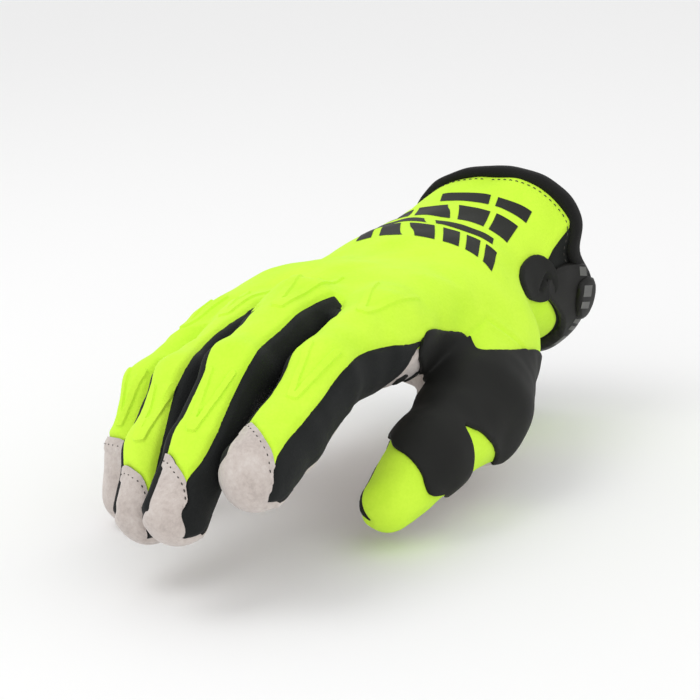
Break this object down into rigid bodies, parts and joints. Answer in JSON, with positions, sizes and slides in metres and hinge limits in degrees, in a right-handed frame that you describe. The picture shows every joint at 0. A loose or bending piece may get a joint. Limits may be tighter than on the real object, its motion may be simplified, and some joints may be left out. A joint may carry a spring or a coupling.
{
  "type": "motocross glove",
  "caption": "Right-hand motocross glove in its worn form, open at the cuff, with cloth back, leather palm, side gussets, thumb patch and a wrist strap.",
  "frame": {"origin": "centre of the cuff opening, where the wrist goes in", "axes": "+Y out of the cuff towards the wearer's arm, +Z out of the back of the hand, +X towards the thumb side"},
  "size_m": [0.1234, 0.2356, 0.0921],
  "materials": {
    "yellow_cloth": "matte",
    "black_stretch": "matte",
    "palm_leather": "suede",
    "wrist_cloth": "matte",
    "patch_rubber": "matte",
    "strap_rubber": "satin",
    "binding_cloth": "matte"
  },
  "bodies": {
    "root": {"index_side_gusset": "black_stretch", "gusset_index_middle": "black_stretch", "gusset_middle_ring": "black_stretch", "gusset_ring_pinky": "black_stretch", "thumb_gusset": "black_stretch", "thumb_palm": "palm_leather", "thumb_back_panel": "yellow_cloth", "wrist_panel": "wrist_cloth", "palm_panel": "palm_leather", "back_panel": "yellow_cloth", "thumb_patch": "patch_rubber", "wrist_patch": "patch_rubber", "wrist_strap": "strap_rubber", "strap_tab": "strap_rubber", "cuff_binding": "binding_cloth", "web_grip_1": "patch_rubber", "web_grip_2": "patch_rubber"}
  },
  "joints": []
}
